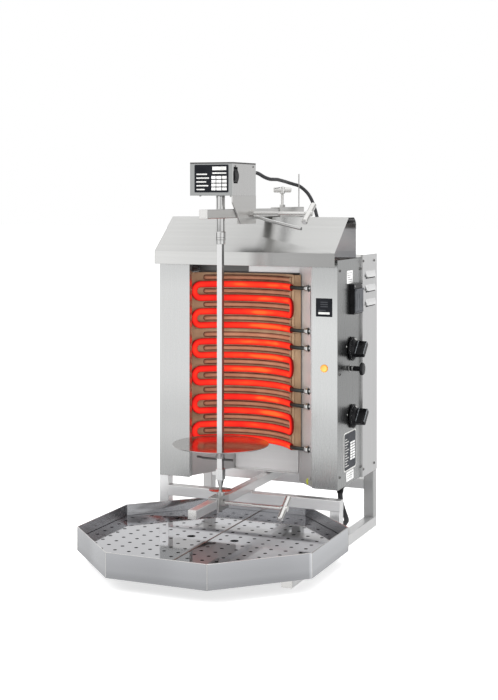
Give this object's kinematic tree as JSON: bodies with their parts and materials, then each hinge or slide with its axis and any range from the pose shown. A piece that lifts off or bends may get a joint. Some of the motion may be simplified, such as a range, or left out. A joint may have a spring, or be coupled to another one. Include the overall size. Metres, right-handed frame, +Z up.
{
  "type": "vertical spit grill",
  "caption": "Electric upright rotisserie grill: heated back wall under a slanted hood, a motor that turns a vertical spit from above, and an eight-sided drip tray.",
  "frame": {"origin": "middle of the footprint, on the surface that the stand rests on", "axes": "+X to the control side, -Y to the cook, +Z up"},
  "size_m": [0.554, 0.7581, 0.888],
  "materials": {
    "steel": "brushed",
    "matt_steel": "matt",
    "bright_steel": "polished",
    "mirror_steel": "mirror",
    "dark_steel": "satin",
    "cast_metal": "cast",
    "fireclay": "matt ceramic",
    "hot_tube": "glowing red",
    "black_plastic": "satin",
    "grey_plastic": "satin",
    "red_plastic": "gloss",
    "orange_lens": "translucent",
    "black_plate": "printed",
    "cord_rubber": "matt"
  },
  "bodies": {
    "stand": {"base_rails": "steel", "uprights": "steel", "crossbars": "steel", "support_mast": "steel", "lower_arm": "steel", "upper_arm": "steel", "arm_sleeve": "steel", "end_caps": "bright_steel", "left_casing": "steel", "control_casing": "steel", "top_plate": "steel", "bottom_plate": "steel", "back_panel": "steel", "side_panels": "matt_steel", "lower_reflector": "bright_steel", "side_reflectors": "bright_steel", "heater_back": "dark_steel", "hood": "steel", "casing_screws": "dark_steel", "upper_tile": "fireclay", "middle_tile": "fireclay", "lower_tile": "fireclay", "upper_element": "hot_tube", "middle_element": "hot_tube", "lower_element": "hot_tube", "element_nuts": "bright_steel", "switch_bodies": "grey_plastic", "socket_box": "black_plastic", "signal_lamp": "orange_lens", "info_plates": "black_plate", "terminal_block": "grey_plastic", "cord_gland": "black_plastic", "mains_cord": "cord_rubber", "mains_coil": "cord_rubber", "mains_plug": "red_plastic", "motor_cable": "cord_rubber"},
    "motor_carriage": {"motor_housing": "steel", "motor_lid": "dark_steel", "gear_motor": "cast_metal", "motor_bracket": "steel", "pull_handle": "bright_steel"},
    "rocker": {"rocker_switch": "black_plastic"},
    "upper_clamp": {"upper_clamp_screw": "bright_steel"},
    "sleeve_clamp": {"sleeve_screw": "steel"},
    "spit_assembly": {"drive_shaft": "bright_steel", "spit": "bright_steel"},
    "collar": {"coupling_collar": "bright_steel"},
    "disc": {"meat_disc": "bright_steel"},
    "locking_pin": {"disc_pin": "dark_steel"},
    "lower_carriage": {"lower_saddle": "steel", "bearing_cup": "bright_steel"},
    "lower_clamp": {"lower_clamp_screw": "bright_steel"},
    "tray": {"drip_tray": "steel"},
    "left_floor": {"left_insert": "mirror_steel"},
    "right_floor": {"right_insert": "mirror_steel"},
    "power_knob_upper": {"upper_knob": "black_plastic"},
    "power_knob_lower": {"lower_knob": "black_plastic"},
    "pull_switch": {"push_knob": "black_plastic"},
    "flap": {"socket_flap": "grey_plastic"}
  },
  "joints": [
    {"name": "motor_slide", "type": "slide", "parent": "stand", "child": "motor_carriage", "axis": [0, 1, 0], "range_m": [-0.045, 0.055], "deforming": ["motor_cable"]},
    {"name": "lower_slide", "type": "slide", "parent": "stand", "child": "lower_carriage", "axis": [0, 1, 0], "range_m": [-0.045, 0.055]},
    {"name": "spit_spin", "type": "hinge", "parent": "motor_carriage", "child": "spit_assembly", "pos_m": [0, -0.053, 0.5], "axis": [0, 0, 1], "continuous": true},
    {"name": "collar_lift", "type": "slide", "parent": "spit_assembly", "child": "collar", "axis": [0, 0, 1], "range_m": [0, 0.028]},
    {"name": "disc_lift", "type": "slide", "parent": "spit_assembly", "child": "disc", "axis": [0, 0, 1], "range_m": [0, 0.38]},
    {"name": "pin_pull", "type": "slide", "parent": "spit_assembly", "child": "locking_pin", "axis": [-1, 0, 0], "range_m": [0, 0.06]},
    {"name": "upper_clamp_turn", "type": "hinge", "parent": "motor_carriage", "child": "upper_clamp", "pos_m": [0.18, 0.031, 0.7735], "axis": [1, 0, 0], "range_deg": [-180, 180]},
    {"name": "lower_clamp_turn", "type": "hinge", "parent": "lower_carriage", "child": "lower_clamp", "pos_m": [0.16, -0.07, 0.131], "axis": [1, 0, 0], "range_deg": [-180, 180]},
    {"name": "sleeve_clamp_turn", "type": "hinge", "parent": "stand", "child": "sleeve_clamp", "pos_m": [0.0265, 0.255, 0.828], "axis": [0, 0, 1], "range_deg": [-180, 180]},
    {"name": "rocker_tilt", "type": "hinge", "parent": "motor_carriage", "child": "rocker", "pos_m": [0.038, -0.0595, 0.859], "axis": [0, 1, 0], "range_deg": [0, 12]},
    {"name": "upper_knob_turn", "type": "hinge", "parent": "stand", "child": "power_knob_upper", "pos_m": [0.24, 0.19, 0.4555], "axis": [-1, 0, 0], "range_deg": [0, 270]},
    {"name": "lower_knob_turn", "type": "hinge", "parent": "stand", "child": "power_knob_lower", "pos_m": [0.24, 0.195, 0.297], "axis": [-1, 0, 0], "range_deg": [0, 270]},
    {"name": "pull_switch_travel", "type": "slide", "parent": "stand", "child": "pull_switch", "axis": [-1, 0, 0], "range_m": [0, 0.006]},
    {"name": "flap_turn", "type": "hinge", "parent": "stand", "child": "flap", "pos_m": [0.2395, 0.212, 0.593], "axis": [0, -1, 0], "range_deg": [0, 110], "stiffness_Nm_per_rad": 0.02, "springref_deg": -22.92},
    {"name": "tray_slide", "type": "slide", "parent": "stand", "child": "tray", "axis": [0, -1, 0], "range_m": [0, 0.32]},
    {"name": "left_floor_lift", "type": "slide", "parent": "tray", "child": "left_floor", "axis": [0, 0, 1], "range_m": [0, 0.03]},
    {"name": "right_floor_lift", "type": "slide", "parent": "tray", "child": "right_floor", "axis": [0, 0, 1], "range_m": [0, 0.03]}
  ],
  "couplings": [
    {"joint": "lower_slide", "follows": "motor_slide", "ratio": 1}
  ]
}
